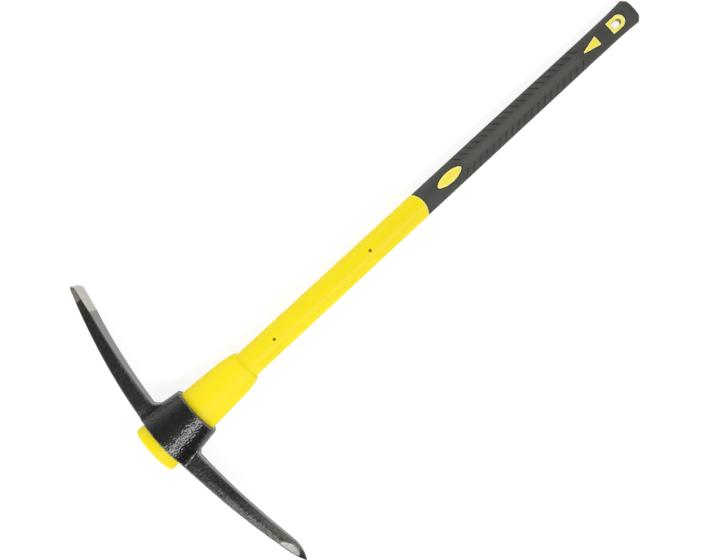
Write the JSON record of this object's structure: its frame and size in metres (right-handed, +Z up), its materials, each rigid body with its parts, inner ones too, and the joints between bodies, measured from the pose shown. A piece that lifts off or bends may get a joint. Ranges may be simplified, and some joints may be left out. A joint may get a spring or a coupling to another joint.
{
  "type": "pick axe",
  "caption": "Long-handled pick axe: forged head with a flat chisel arm and a pointed arm, slipped over a flared fibreglass-cored handle with a soft grip and a hang hole.",
  "frame": {"origin": "middle of the flat crown end of the handle, on the handle's axis", "axes": "+X along the handle from the crown end to the butt, +Y towards the chisel arm, +Z up across the plane of the head; the tool lies on its side"},
  "size_m": [0.9, 0.497, 0.0608],
  "materials": {
    "head_paint": "black gloss paint on forged steel, bare ground steel at the chisel edge and the point",
    "yellow_plastic": "semi-gloss moulded polypropylene",
    "fibreglass": "pultruded glass fibre in resin",
    "grip_rubber": "matt soft-touch rubber with fine texture"
  },
  "bodies": {
    "handle": {"eye_sleeve": "yellow_plastic", "handle_jacket": "yellow_plastic", "fibreglass_core": "fibreglass", "grip": "grip_rubber"},
    "head": {"pick_head": "head_paint"}
  },
  "joints": [
    {"name": "head_slide", "type": "slide", "parent": "handle", "child": "head", "axis": [1, 0, 0], "range_m": [0, 0.885]}
  ]
}
